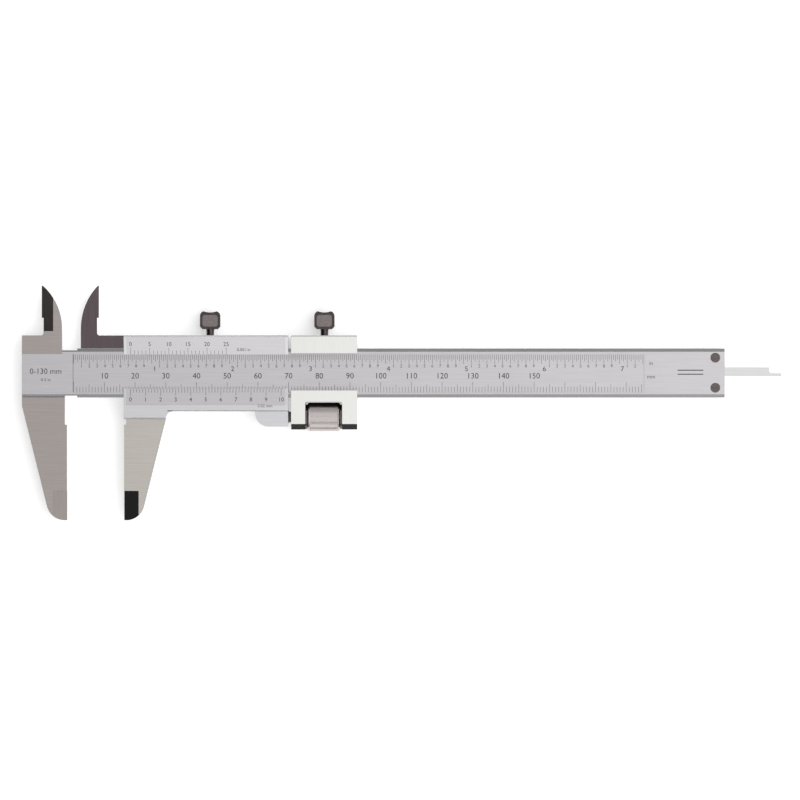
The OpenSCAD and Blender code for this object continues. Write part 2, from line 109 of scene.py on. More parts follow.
class CaliperSteelSettings(bpy.types.PropertyGroup):
    """Colours and edge rounding of the steel pieces"""

    edge: FloatProperty(
        name="Edge Rounding", description="Width of the broken edges on the steel pieces",
        default=0.1 * MM, unit="LENGTH", precision=5)
    beam: FloatVectorProperty(
        name="Beam", description="Colour of the beam's satin face",
        default=(0.60, 0.585, 0.60), subtype="COLOR", min=0, max=1)
    slider: FloatVectorProperty(
        name="Slider", description="Colour of the slider's satin face",
        default=(0.69, 0.685, 0.71), subtype="COLOR", min=0, max=1)
    # Painted shade: the fixed jaws' ground faces get a darker colour than the moving jaw's, for the
    # light that falls on them
    fixed_jaw: FloatVectorProperty(
        name="Fixed Jaws", description="Colour of the fixed jaws' ground faces",
        default=(0.416, 0.376, 0.360), subtype="COLOR", min=0, max=1)
    # Painted light: the moving outside jaw's ground face gets a brighter colour than the fixed jaws',
    # for the light that falls on it
    moving_jaw: FloatVectorProperty(
        name="Moving Jaw", description="Colour of the moving outside jaw's ground face",
        default=(0.553, 0.521, 0.484), subtype="COLOR", min=0, max=1)
    # Painted dark reflection: the moving inside jaw's level face gets a nearly black colour
    inside_jaw: FloatVectorProperty(
        name="Moving Inside Jaw", description="Colour of the moving inside jaw's hardened face",
        default=(0.125, 0.100, 0.107), subtype="COLOR", min=0, max=1)
    lapped: FloatVectorProperty(
        name="Lapped Faces", description="Colour of the lapped bevels and measuring faces",
        default=(0.50, 0.48, 0.48), subtype="COLOR", min=0, max=1)
    lip_end: FloatVectorProperty(
        name="Lip Ends", description="Colour of the polished bands at the slider's two ends",
        default=(0.69, 0.69, 0.70), subtype="COLOR", min=0, max=1)
    # Painted dark reflection: the fixed inside jaw's bevel gets a darkened colour; its coarse grinding
    # is in the roughness
    nib_bevel: FloatVectorProperty(
        name="Inside Jaw Bevel", description="Colour of the fixed inside jaw's coarsely ground bevel",
        default=(0.270, 0.236, 0.225), subtype="COLOR", min=0, max=1)
    # Painted dark reflection: the fixed outside jaw's bevel gets a darkened colour
    worn: FloatVectorProperty(
        name="Painted Dark Bevel", description="Colour of the fixed outside jaw's duller bevel",
        default=(0.223, 0.202, 0.190), subtype="COLOR", min=0, max=1)
    carriage: FloatVectorProperty(
        name="Carriage", description="Colour of the polished feed carriage",
        default=(0.83, 0.83, 0.80), subtype="COLOR", min=0, max=1)
    nut: FloatVectorProperty(
        name="Feed Nut", description="Colour of the knurled feed nut",
        default=(0.556, 0.512, 0.497), subtype="COLOR", min=0, max=1)
    depth_bar: FloatVectorProperty(
        name="Depth Bar", description="Colour of the depth bar",
        default=(0.655, 0.655, 0.655), subtype="COLOR", min=0, max=1)
    blackened: FloatVectorProperty(
        name="Blackened Steel", description="Colour of the clamp screws and small screws",
        default=(0.226, 0.195, 0.194), subtype="COLOR", min=0, max=1)
    bronze: FloatVectorProperty(
        name="Bronze", description="Colour of the gib strips",
        default=(0.60, 0.42, 0.22), subtype="COLOR", min=0, max=1)


class CaliperFeedSettings(bpy.types.PropertyGroup):
    """Sizes of the feed nut's knurling and the feed screw's thread"""

    teeth: IntProperty(
        name="Knurl Ridges", description="Number of ridges round the feed nut",
        default=64, min=24, max=90)
    knurl_depth: FloatProperty(
        name="Knurl Depth", description="Height of the ridges over the nut's core",
        default=0.06 * MM, unit="LENGTH", precision=5)
    nut_end: FloatProperty(
        name="Plain End", description="Length of the plain collar at each end of the nut",
        default=0.75 * MM, unit="LENGTH", precision=5)
    thread_pitch: FloatProperty(
        name="Thread Pitch", description="Pitch of the feed screw",
        default=0.5 * MM, unit="LENGTH", precision=5)
    thread_depth: FloatProperty(
        name="Thread Depth", description="Depth of the feed screw's thread",
        default=0.27 * MM, unit="LENGTH", precision=5)
    shoulder: FloatProperty(
        name="Plain Shoulder",
        description="Length of the feed screw's plain shoulder beside the slider",
        default=0.3 * MM, unit="LENGTH", precision=5)


class CaliperStageSettings(bpy.types.PropertyGroup):
    """Camera, floor and light"""

    view_width: FloatProperty(
        name="View Width", description="Width that the camera sees at the beam's face",
        default=260.6 * MM, unit="LENGTH", precision=4)
    focal_length: FloatProperty(
        name="Focal Length", description="Focal length of the camera in millimetres",
        default=200.0, min=50)
    aim: FloatVectorProperty(
        name="Aim", description="Point of the beam's face in the middle of the picture",
        default=(-0.6 * MM, 0.95 * MM), size=2, unit="LENGTH", precision=5)
    floor: FloatVectorProperty(
        name="Floor", description="Colour of the floor", default=(0.92, 0.92, 0.92), subtype="COLOR",
        min=0, max=1)
    floor_glow: FloatProperty(
        name="Floor Glow", description="Light of its own that keeps the floor free of dark shadows",
        default=0.5, min=0)
    light: FloatProperty(
        name="Light", description="Brightness of the soft studio light", default=1.3, min=0)


# ---------------------------------------------------------------- materials


# Features per metre along X, Y and Z of the grain lines, of an even grain, and of handling smudges
ALONG_X = (90.0, 4200.0, 4200.0)
ALONG_Y = (4200.0, 90.0, 4200.0)
FINE = (1500.0, 1500.0, 1500.0)
HANDLING = (45.0, 45.0, 45.0)


def node_of(tree, kind, **values):
    """A shader or geometry node with some of its properties set"""
    node = tree.nodes.new(kind)
    for key, value in values.items():
        setattr(node, key, value)
    return node


def map_range(tree, source, before, after):
    """The result of a Map Range node that turns the range before into the range after"""
    node = node_of(tree, "ShaderNodeMapRange")
    for label, value in zip(("From Min", "From Max", "To Min", "To Max"), (*before, *after)):
        node.inputs[label].default_value = value
    tree.links.new(source, node.inputs["Value"])
    return node.outputs["Result"]


def ranged(tree, source, low, high):
    """Spreads the usual range of a noise, 0.3 to 0.7, over low to high"""
    return map_range(tree, source, (0.3, 0.7), (low, high))


def pattern(tree, scale, detail=3.0):
    """Noise on Object coordinates, stretched by a scale for each axis, in features per metre"""
    place = node_of(tree, "ShaderNodeTexCoord")
    stretch = node_of(tree, "ShaderNodeMapping")
    stretch.inputs["Scale"].default_value = scale
    noise = node_of(tree, "ShaderNodeTexNoise")
    noise.inputs["Scale"].default_value = 1.0
    noise.inputs["Detail"].default_value = detail
    tree.links.new(place.outputs["Object"], stretch.inputs["Vector"])
    tree.links.new(stretch.outputs["Vector"], noise.inputs["Vector"])
    return noise.outputs["Fac"]


def metal(name, colour, roughness, grain, depth=1.2e-6, tone=0.05, smudge=0.04, metallic=1.0):
    """Ground or polished metal, with grain lines in tone and bump and faint smudges in roughness"""
    material = bpy.data.materials.get(name)
    if material:
        return material
    material = bpy.data.materials.new(name)
    material.use_nodes = True
    material.diffuse_color = (*colour, 1)
    tree = material.node_tree
    tree.nodes.clear()
    surface = node_of(tree, "ShaderNodeBsdfPrincipled")
    surface.inputs["Metallic"].default_value = metallic
    output = node_of(tree, "ShaderNodeOutputMaterial")
    tree.links.new(surface.outputs["BSDF"], output.inputs["Surface"])

    lines = pattern(tree, grain)
    clouds = pattern(tree, HANDLING, 4.0)

    shade = node_of(tree, "ShaderNodeMix", data_type="RGBA")
    shade.inputs["A"].default_value = (*(c * (1 - tone) for c in colour), 1)
    shade.inputs["B"].default_value = (*(min(1, c * (1 + tone)) for c in colour), 1)
    tree.links.new(ranged(tree, lines, 0.0, 1.0), shade.inputs["Factor"])
    tree.links.new(shade.outputs["Result"], surface.inputs["Base Color"])

    handled = ranged(tree, clouds, roughness - smudge, roughness + smudge)
    tree.links.new(handled, surface.inputs["Roughness"])

    bump = node_of(tree, "ShaderNodeBump")
    bump.inputs["Strength"].default_value = 1.0
    bump.inputs["Distance"].default_value = depth
    tree.links.new(lines, bump.inputs["Height"])
    tree.links.new(bump.outputs["Normal"], surface.inputs["Normal"])
    return material


def darker(colour, part):
    """Part of a colour's brightness"""
    return tuple(c * part for c in colour)


def satin_beam(steel):
    """Satin ground face of the beam"""
    return metal("satin beam face", steel.beam, 0.34, ALONG_X)


def satin_slider(steel):
    """Satin face of the slider, a little finer than the beam's"""
    return metal("satin slider face", steel.slider, 0.32, ALONG_X, tone=0.03)


def polished_band(steel):
    """Polished ends of the slider's lips"""
    return metal("polished lip end", steel.lip_end, 0.22, ALONG_Y, depth=5e-7, tone=0.02)


def ground_fixed_jaw(steel):
    """Ground faces of the fixed jaws, with the grinding lines across them, in a colour darkened as
    painted shade
    """
    return metal("ground fixed jaw", steel.fixed_jaw, 0.22, ALONG_X, tone=0.05)


def ground_moving_jaw(steel):
    """Ground face of the moving outside jaw, painted brighter than the fixed one as painted light"""
    return metal("ground moving jaw", steel.moving_jaw, 0.22, ALONG_X, tone=0.04)


def worn_bevel(steel):
    """Bevel at the end of the fixed outside jaw, in a colour darkened as painted dark reflection"""
    return metal("worn bevel", steel.worn, 0.2, ALONG_Y, depth=5e-7, tone=0.06)


def ground_bevel(steel):
    """Coarsely ground bevel of the fixed inside jaw, in a colour darkened as painted dark reflection"""
    return metal("ground bevel", steel.nib_bevel, 0.38, ALONG_Y, tone=0.08)


def lapped(steel):
    """Lapped bevels and measuring faces"""
    return metal("lapped steel", steel.lapped, 0.09, FINE, depth=2e-7, tone=0.02, smudge=0.02)


def hardened(steel):
    """Face of the moving inside jaw, painted nearly black as a painted dark reflection"""
    return metal("hardened steel", steel.inside_jaw, 0.2, ALONG_Y, depth=4e-7, tone=0.12, smudge=0.05)


def polished_edge(steel):
    """Polished chamfers and side walls"""
    return metal("polished edge", steel.beam, 0.16, ALONG_X, depth=6e-7, tone=0.03)


def polished_carriage(steel):
    """Bright polished carriage"""
    return metal("polished carriage", steel.carriage, 0.17, ALONG_Y, depth=5e-7, tone=0.02, smudge=0.03)


def recess(steel):
    """Unpolished walls of the carriage's window, painted nearly black as painted shade in the recess"""
    return metal("window recess", darker(steel.blackened, 0.15), 0.5, FINE, depth=8e-7, tone=0.2)


def fine_depth_bar(steel):
    """Fine ground depth bar"""
    return metal("depth bar steel", steel.depth_bar, 0.25, ALONG_X, tone=0.03)


def knurled_steel(steel):
    """Satin steel of the feed nut"""
    return metal("knurled steel", steel.nut, 0.28, FINE, tone=0.04)


def blackened(steel):
    """Blackened steel of the screws, with slight wear"""
    return metal("blackened steel", steel.blackened, 0.3, FINE, depth=1e-6, tone=0.14, smudge=0.06)


def blackened_rim(steel):
    """Rims and walls of the blackened screws, in the blackened colour darkened to a third as painted
    shade
    """
    dark = darker(steel.blackened, 0.34)
    return metal("blackened rim", dark, 0.28, FINE, depth=1e-6, tone=0.14, smudge=0.06)


def blackened_screws(steel):
    """Small screws and washers, in the blackened colour darkened to 0.6, lighter than the thumb screws'
    rims
    """
    dark = darker(steel.blackened, 0.6)
    return metal("blackened screws", dark, 0.28, FINE, depth=1e-6, tone=0.14, smudge=0.06)


def bronze(steel):
    """Rolled bronze strip of the gibs"""
    return metal("gib bronze", steel.bronze, 0.3, ALONG_X, tone=0.06)


def scale_ink(scales):
    """Dark fill of the engraved lines and numerals"""
    return metal("scale fill", scales.ink, 0.55, FINE, depth=5e-7, tone=0.2, metallic=0.0)


# ---------------------------------------------------------------- meshes


def link(name, mesh):
    """A new object at the origin that shows the mesh"""
    piece = bpy.data.objects.new(name, mesh)
    bpy.context.scene.collection.objects.link(piece)
    return piece


def ready(piece, body):
    """Gives a finished piece its body"""
    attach(piece, body)


def evaluated_mesh(piece):
    """A new mesh of a piece as its modifiers or its lettering make it"""
    bpy.context.view_layer.update()
    ready_made = piece.evaluated_get(bpy.context.evaluated_depsgraph_get())
    return bpy.data.meshes.new_from_object(ready_made)


def baked(piece):
    """Applies a piece's modifiers and removes them"""
    result = evaluated_mesh(piece)
    old = piece.data
    piece.modifiers.clear()
    piece.data = result
    bpy.data.meshes.remove(old)
    return piece


def inside_curve(line):
    """Whether an edge only divides a curved wall or a small turned face, and isn't a real corner"""
    if not line.is_manifold or line.calc_face_angle(0) > CORNER:
        return False
    small_area = 1.5 * MM * MM
    upright = all(abs(face.normal.z) < 0.02 for face in line.link_faces)
    return upright or all(face.calc_area() < small_area for face in line.link_faces)


def finished_copy(node, edge, materials, choose, borders=()):
    """A copy of a CAD node with broken edges, and a material for each face as choose(face) says

    Each border is a place along X where one finish may end and another begin."""
    mesh = frame["nodes"][node].data.copy()
    mesh.materials.clear()
    for material in materials:
        mesh.materials.append(material)
    shape = bmesh.new()
    shape.from_mesh(mesh)
    same_place = 0.001 * MM
    same_plane = math.radians(0.4)
    bmesh.ops.remove_doubles(shape, verts=shape.verts, dist=same_place)
    bmesh.ops.dissolve_limit(shape, angle_limit=same_plane, verts=shape.verts, edges=shape.edges)
    for x in borders:
        everything = [*shape.verts, *shape.edges, *shape.faces]
        bmesh.ops.bisect_plane(shape, geom=everything, plane_co=(x, 0, 0), plane_no=(1, 0, 0))
    for line in shape.edges:
        line.smooth = inside_curve(line)
    for face in shape.faces:
        face.smooth = True
        face.material_index = choose(face)
    shape.to_mesh(mesh)
    shape.free()
    piece = link(node + "_finished", mesh)
    if edge:
        bevel = piece.modifiers.new("broken edges", "BEVEL")
        bevel.width = edge
        bevel.segments = 2
        bevel.limit_method = "ANGLE"
        bevel.angle_limit = CORNER
        bevel.harden_normals = True
        baked(piece)
    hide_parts(node)
    return piece


def faces_up(face, least=LEVEL):
    """Whether a face looks up or down the Z axis"""
    return abs(face.normal.z) > least


def joined(name, meshes):
    """One object from several meshes, which are then removed"""
    shape = bmesh.new()
    for mesh in meshes:
        shape.from_mesh(mesh)
    result = bpy.data.meshes.new(name)
    for material in meshes[0].materials:
        result.materials.append(material)
    shape.to_mesh(result)
    shape.free()
    for mesh in meshes:
        bpy.data.meshes.remove(mesh)
    return link(name, result)


def radii_at(node, x):
    """Distances of a CAD node's corners at x from the node's own axis along X, smallest first"""
    low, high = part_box(node)
    middle = (low + high) / 2
    corners = [corner.co for corner in frame["nodes"][node].data.vertices]
    return sorted(
        math.hypot(co.y - middle.y, co.z - middle.z) for co in corners if abs(co.x - x) < 0.001 * MM)


def turned(name, profile, sides, material, bored):
    """A shape turned about the X axis from (x, radius) points, solid or with a bore"""
    shape = bmesh.new()
    rings = []
    for x, radius in profile:
        ring = []
        for k in range(sides):
            angle = 2 * math.pi * k / sides
            ring.append(shape.verts.new((x, radius * math.cos(angle), radius * math.sin(angle))))
        rings.append(ring)
    pairs = list(zip(rings, rings[1:]))
    if bored:
        pairs.append((rings[-1], rings[0]))
    else:
        shape.faces.new(rings[0])
        shape.faces.new(rings[-1])
    for ring, after in pairs:
        for k in range(sides):
            nxt = (k + 1) % sides
            shape.faces.new((ring[k], ring[nxt], after[nxt], after[k]))
    bmesh.ops.recalc_face_normals(shape, faces=shape.faces)
    mesh = bpy.data.meshes.new(name)
    mesh.materials.append(material)
    shape.to_mesh(mesh)
    shape.free()
    return mesh


# ---------------------------------------------------------------- geometry nodes


def new_tree(name, inputs):
    """A Geometry Nodes tree with a geometry output and named inputs, and its input and output nodes"""
    tree = bpy.data.node_groups.new(name, "GeometryNodeTree")
    tree.interface.new_socket("Geometry", in_out="OUTPUT", socket_type="NodeSocketGeometry")
    for label, kind in inputs:
        tree.interface.new_socket(label, in_out="INPUT", socket_type="NodeSocket" + kind)
    return tree, node_of(tree, "NodeGroupInput"), node_of(tree, "NodeGroupOutput")


def fed(tree, node, values):
    """A node's first output, with its first inputs fed from sockets or numbers"""
    for socket, value in zip(node.inputs, values):
        if isinstance(value, bpy.types.NodeSocket):
            tree.links.new(value, socket)
        else:
            socket.default_value = value
    return node.outputs[0]


def math_node(tree, operation, *values):
    """The result of a Math node on sockets or numbers"""
    return fed(tree, node_of(tree, "ShaderNodeMath", operation=operation), values)


def vector_node(tree, x=0.0, y=0.0, z=0.0):
    """A vector from sockets or numbers"""
    return fed(tree, node_of(tree, "ShaderNodeCombineXYZ"), (x, y, z))


def end_tree(tree, geometry, material, output):
    """Ends a tree in Realize Instances and Set Material"""
    real = node_of(tree, "GeometryNodeRealizeInstances")
    paint = node_of(tree, "GeometryNodeSetMaterial")
    tree.links.new(geometry, real.inputs["Geometry"])
    tree.links.new(real.outputs["Geometry"], paint.inputs["Geometry"])
    tree.links.new(material, paint.inputs["Material"])
    tree.links.new(paint.outputs["Geometry"], output.inputs["Geometry"])


def grown(tree, values):
    """The mesh that a tree makes with the named values"""
    host = link(tree.name, bpy.data.meshes.new(tree.name))
    modifier = host.modifiers.new(tree.name, "NODES")
    modifier.node_group = tree
    for item in tree.interface.items_tree:
        if item.in_out == "INPUT":
            modifier[item.identifier] = values[item.name]
    baked(host)
    mesh = host.data
    bpy.data.objects.remove(host)
    return mesh


def graduation_tree():
    """Lines spaced along X, growing from y = 0 to one side, with some of them middle-sized or long"""
    tree, start, end = new_tree("graduation row", [
        ("Count", "Int"), ("Spacing", "Float"), ("Line Width", "Float"), ("Fill Height", "Float"),
        ("Short", "Float"), ("Middle", "Float"), ("Long", "Float"),
        ("Middle Every", "Float"), ("Long Every", "Float"), ("Side", "Float"), ("Material", "Material"),
    ])
    value = start.outputs
    row = node_of(tree, "GeometryNodeMeshLine")
    tree.links.new(value["Count"], row.inputs["Count"])
    tree.links.new(vector_node(tree, x=value["Spacing"]), row.inputs["Offset"])

    number = node_of(tree, "GeometryNodeInputIndex").outputs[0]
    length = value["Short"]
    for every, reach in (("Middle Every", "Middle"), ("Long Every", "Long")):
        rest = math_node(tree, "MODULO", number, value[every])
        hit = math_node(tree, "LESS_THAN", rest, 0.5)
        extra = math_node(tree, "SUBTRACT", value[reach], length)
        length = math_node(tree, "MULTIPLY_ADD", hit, extra, length)

    line = node_of(tree, "GeometryNodeMeshCube")
    size = vector_node(tree, value["Line Width"], 1.0, value["Fill Height"])
    tree.links.new(size, line.inputs["Size"])
    shift = node_of(tree, "GeometryNodeTransform")
    tree.links.new(line.outputs["Mesh"], shift.inputs["Geometry"])
    half = math_node(tree, "MULTIPLY", value["Side"], 0.5)
    tree.links.new(vector_node(tree, y=half), shift.inputs["Translation"])

    spread = node_of(tree, "GeometryNodeInstanceOnPoints")
    tree.links.new(row.outputs["Mesh"], spread.inputs["Points"])
    tree.links.new(shift.outputs["Geometry"], spread.inputs["Instance"])
    tree.links.new(vector_node(tree, 1.0, length, 1.0), spread.inputs["Scale"])
    end_tree(tree, spread.outputs["Instances"], value["Material"], end)
    return tree


def knurl_tree():
    """Ridges round the X axis that touch each other, each a square bar on its edge, pressed flat"""
    tree, start, end = new_tree("straight knurl", [
        ("Ridges", "Int"), ("Core Radius", "Float"), ("Depth", "Float"), ("Length", "Float"),
        ("Material", "Material"),
    ])
    value = start.outputs
    ring = node_of(tree, "GeometryNodeMeshCircle")
    tree.links.new(value["Ridges"], ring.inputs["Vertices"])
    tree.links.new(value["Core Radius"], ring.inputs["Radius"])
    bar = node_of(tree, "GeometryNodeMeshCube")
    side = math.sqrt(2)
    tree.links.new(vector_node(tree, side, side, value["Length"]), bar.inputs["Size"])
    tip = node_of(tree, "GeometryNodeTransform")
    tip.inputs["Rotation"].default_value = (0, 0, math.radians(45))
    tree.links.new(bar.outputs["Mesh"], tip.inputs["Geometry"])
    outward = node_of(tree, "FunctionNodeAlignRotationToVector", axis="X", pivot_axis="Z")
    where = node_of(tree, "GeometryNodeInputPosition")
    tree.links.new(where.outputs["Position"], outward.inputs["Vector"])
    spread = node_of(tree, "GeometryNodeInstanceOnPoints")
    tree.links.new(ring.outputs["Mesh"], spread.inputs["Points"])
    tree.links.new(tip.outputs["Geometry"], spread.inputs["Instance"])
    tree.links.new(outward.outputs["Rotation"], spread.inputs["Rotation"])
    around = math_node(tree, "MULTIPLY", value["Core Radius"], math.pi)
    half_pitch = math_node(tree, "DIVIDE", around, value["Ridges"])
    tree.links.new(vector_node(tree, value["Depth"], half_pitch, 1.0), spread.inputs["Scale"])
    lay = node_of(tree, "GeometryNodeTransform")
    lay.inputs["Rotation"].default_value = (0, math.radians(90), 0)
    tree.links.new(spread.outputs["Instances"], lay.inputs["Geometry"])
    end_tree(tree, lay.outputs["Geometry"], value["Material"], end)
    return tree


def thread_tree():
    """One helical ridge round the X axis, from x = 0 to its length"""
    tree, start, end = new_tree("screw thread", [
        ("Turns", "Float"), ("Radius", "Float"), ("Length", "Float"), ("Ridge", "Float"),
        ("Material", "Material"),
    ])
    value = start.outputs
    helix = node_of(tree, "GeometryNodeCurveSpiral")
    helix.inputs["Resolution"].default_value = 20
    tree.links.new(value["Turns"], helix.inputs["Rotations"])
    tree.links.new(value["Radius"], helix.inputs["Start Radius"])
    tree.links.new(value["Radius"], helix.inputs["End Radius"])
    tree.links.new(value["Length"], helix.inputs["Height"])
    ridge = node_of(tree, "GeometryNodeCurvePrimitiveCircle")
    ridge.inputs["Resolution"].default_value = 4
    tree.links.new(value["Ridge"], ridge.inputs["Radius"])
    sweep = node_of(tree, "GeometryNodeCurveToMesh")
    sweep.inputs["Fill Caps"].default_value = True
    tree.links.new(helix.outputs["Curve"], sweep.inputs["Curve"])
    tree.links.new(ridge.outputs["Curve"], sweep.inputs["Profile Curve"])
    lay = node_of(tree, "GeometryNodeTransform")
    lay.inputs["Rotation"].default_value = (0, math.radians(90), 0)
    tree.links.new(sweep.outputs["Mesh"], lay.inputs["Geometry"])
    end_tree(tree, lay.outputs["Geometry"], value["Material"], end)
    return tree


# ---------------------------------------------------------------- scales


def numerals(words, height, scales):
    """Numerals as solid meshes: each word is (text, x, y of its middle)"""
    cap_height = 0.69
    meshes = []
    for text, x, y in words:
        font = bpy.data.curves.new("numeral", "FONT")
        font.body = text
        font.size = height / cap_height
        font.align_x = "CENTER"
        font.extrude = scales.line_height / 2
        font.resolution_u = 3
        holder = link("numeral", font)
        flat = evaluated_mesh(holder)
        flat.transform(Matrix.Translation((x, y - height / 2, 0)))
        flat.materials.clear()
        flat.materials.append(scale_ink(scales))
        bpy.data.objects.remove(holder)
        bpy.data.curves.remove(font)
        meshes.append(flat)
    return meshes


def draped(piece, node):
    """Lays flat marks on the upper surface of a CAD node"""
    mesh = frame["nodes"][node].data
    corners = [v.co for v in mesh.vertices]
    surface = BVHTree.FromPolygons(corners, [p.vertices for p in mesh.polygons])
    above = 0.05
    for vertex in piece.data.vertices:
        hit = surface.ray_cast(Vector((vertex.co.x, vertex.co.y, above)), Vector((0, 0, -1)))[0]
        if hit is None:
            raise RuntimeError(f"{piece.name} has a mark beyond the edge of {node}")
        vertex.co.z += hit.z
    return piece


def graduations(tree, scales, x, y, **sizes):
    """One row of lines that starts at x, y"""
    named = {key.replace("_", " ").title(): value for key, value in sizes.items()}
    mesh = grown(tree, {
        "Line Width": scales.line_width, "Fill Height": scales.line_height,
        "Material": scale_ink(scales),
        "Middle Every": 5.0, "Long Every": 10.0, **named})
    mesh.transform(Matrix.Translation((x, y, 0)))
    return mesh


def bar(x, y, length, height, scales):
    """A plain engraved rule with its middle at x, y"""
    shape = bmesh.new()
    bmesh.ops.create_cube(shape, size=1)
    bmesh.ops.scale(shape, vec=(length, height, scales.line_height), verts=shape.verts)
    bmesh.ops.translate(shape, vec=(x, y, 0), verts=shape.verts)
    mesh = bpy.data.meshes.new("rule")
    mesh.materials.append(scale_ink(scales))
    shape.to_mesh(mesh)
    shape.free()
    return mesh


class CALIPER_OT_beam_scales(bpy.types.Operator):
    """Engrave the metric and inch scales on the beam"""

    bl_idname = "caliper.beam_scales"
    bl_label = "Beam Scales"

    def execute(self, context):
        scales = context.scene.caliper_scales
        tree = graduation_tree()
        zero = FIXED_FACE_X + scales.zero_offset
        metric_edge = BEAM_Y - 6.35 * MM
        inch_edge = BEAM_Y + 5.95 * MM
        last_mm, last_fortieth = 185, 292
        lines = [
            graduations(tree, scales, zero, metric_edge, count=last_mm + 1, spacing=1 * MM,
                        short=1.9 * MM, middle=2.6 * MM, long=3.4 * MM, side=1.0),
            graduations(tree, scales, zero, inch_edge, count=last_fortieth + 1, spacing=INCH / 40,
                        short=1.6 * MM, middle=2.2 * MM, long=2.9 * MM, side=-1.0,
                        middle_every=2.0, long_every=4.0),
        ]
        ready(draped(joined("beam_graduations", lines), "main_beam"), "beam")

        metric_row = BEAM_Y - 0.9 * MM
        inch_row = BEAM_Y + 1.4 * MM
        tenth_row = BEAM_Y + 2.3 * MM
        beside_line = 0.95 * MM
        metric = [(str(n), zero + n * MM, metric_row) for n in range(10, 151, 10)]
        inches = [(str(n), zero + n * INCH + beside_line, inch_row) for n in range(1, 8)]
        tenths = [(str(n % 10), zero + n * INCH / 10, tenth_row) for n in range(1, 73) if n % 10]
        marks = [
            *numerals(metric, scales.metric_numeral, scales),
            *numerals(inches, scales.inch_numeral, scales),
            *numerals(tenths, scales.tenth_numeral, scales),
        ]
        ready(draped(joined("beam_numerals", marks), "main_beam"), "beam")
        return {"FINISHED"}


class CALIPER_OT_beam_legends(bpy.types.Operator):
    """Engrave the range, the units and the closing rules on the beam"""

    bl_idname = "caliper.beam_legends"
    bl_label = "Beam Legends"

    def execute(self, context):
        scales = context.scene.caliper_scales
        head_x = FIXED_FACE_X - 6.9 * MM
        units_x = FIXED_FACE_X + 190.3 * MM
        rules_x = FIXED_FACE_X + 203.1 * MM
        start_x = FIXED_FACE_X + 2.0 * MM
        range_height, unit_height = 1.75 * MM, 1.2 * MM
        rule = (8.4 * MM, 0.32 * MM)
        start_line = (0.12 * MM, 12.4 * MM)
        units = [("in", units_x, BEAM_Y + 3.2 * MM), ("mm", units_x, BEAM_Y - 1.2 * MM)]
        marks = [
            *numerals([("0-130 mm", head_x, BEAM_Y + 0.6 * MM)], range_height, scales),
            *numerals([("0-5 in", head_x, BEAM_Y - 2.2 * MM)], scales.legend_numeral, scales),
            *numerals(units, unit_height, scales),
            bar(rules_x, BEAM_Y + 0.9 * MM, *rule, scales),
            bar(rules_x, BEAM_Y - 0.4 * MM, *rule, scales),
            bar(start_x, BEAM_Y, *start_line, scales),
        ]
        ready(draped(joined("beam_legends", marks), "main_beam"), "beam")
        return {"FINISHED"}


class CALIPER_OT_verniers(bpy.types.Operator):
    """Engrave both verniers on the slider's lips"""

    bl_idname = "caliper.verniers"
    bl_label = "Verniers"

    def execute(self, context):
        scales = context.scene.caliper_scales
        tree = graduation_tree()
        zero = MOVING_FACE_X + scales.zero_offset
        metric_step = 49 / 50 * MM
        inch_step = 1.225 / 25 * INCH
        lower_edge = BEAM_Y - 5.1 * MM
        upper_edge = BEAM_Y + 6.1 * MM
        lines = [
            graduations(tree, scales, zero, lower_edge, count=51, spacing=metric_step,
                        short=1.3 * MM, middle=2.3 * MM, long=2.3 * MM, side=-1.0),
            graduations(tree, scales, zero, upper_edge, count=26, spacing=inch_step,
                        short=1.2 * MM, middle=2.1 * MM, long=2.1 * MM, side=1.0),
        ]
        ready(draped(joined("vernier_graduations", lines), "slider_frame"), "slider")

        metric_row = BEAM_Y - 8.6 * MM
        inch_row = BEAM_Y + 9.4 * MM
        metric = [(str(n), zero + 5 * n * metric_step, metric_row) for n in range(11)]
        inches = [(str(n), zero + n * inch_step, inch_row) for n in range(0, 26, 5)]
        legends = [
            ("0.02 mm", MOVING_FACE_X + 46.0 * MM, BEAM_Y - 10.7 * MM),
            ("0.001 in", MOVING_FACE_X + 39.0 * MM, BEAM_Y + 7.6 * MM),
        ]
        marks = [
            *numerals(metric + inches, scales.vernier_numeral, scales),
            *numerals(legends, scales.legend_numeral, scales),
        ]
        ready(draped(joined("vernier_numerals", marks), "slider_frame"), "slider")
        return {"FINISHED"}


# ---------------------------------------------------------------- steel pieces


class CALIPER_OT_beam(bpy.types.Operator):
    """Finish the beam, its fixed jaws and its end stop"""

    bl_idname = "caliper.beam"
    bl_label = "Beam"

    def execute(self, context):
        steel = context.scene.caliper_steel
        materials = [
            satin_beam(steel), ground_fixed_jaw(steel), lapped(steel), polished_edge(steel),
            worn_bevel(steel), ground_bevel(steel),
        ]
        satin, ground, measuring, edge, jaw_bevel, nib_bevel = range(len(materials))
        jaw_top = BEAM_Y - 8.2 * MM
        step_y = BEAM_Y + 6.2 * MM
        step_x = FIXED_FACE_X - 1 * MM
        nib_bevel_low = BEAM_Y + 13 * MM

        def choose(face):
            middle = face.calc_center_median()
            on_jaw, on_nib = middle.y < jaw_top, middle.y > nib_bevel_low
            # Level jaw faces take the fixed jaw colour, darkened as painted shade
            if faces_up(face):
                return ground if on_jaw or middle.y > step_y and middle.x < step_x else satin
            # Bevels of both fixed jaws take colours darkened as painted dark reflection
            if abs(face.normal.z) > SLOPED and (on_jaw or on_nib):
                return jaw_bevel if on_jaw else nib_bevel
            return measuring if abs(face.normal.x) > ENDWISE and (on_jaw or on_nib) else edge

        ready(finished_copy("main_beam", steel.edge, materials, choose), "beam")
        plate = finished_copy("end_stop_plate", steel.edge, [satin_beam(steel)], lambda face: 0)
        ready(plate, "beam")
        return {"FINISHED"}


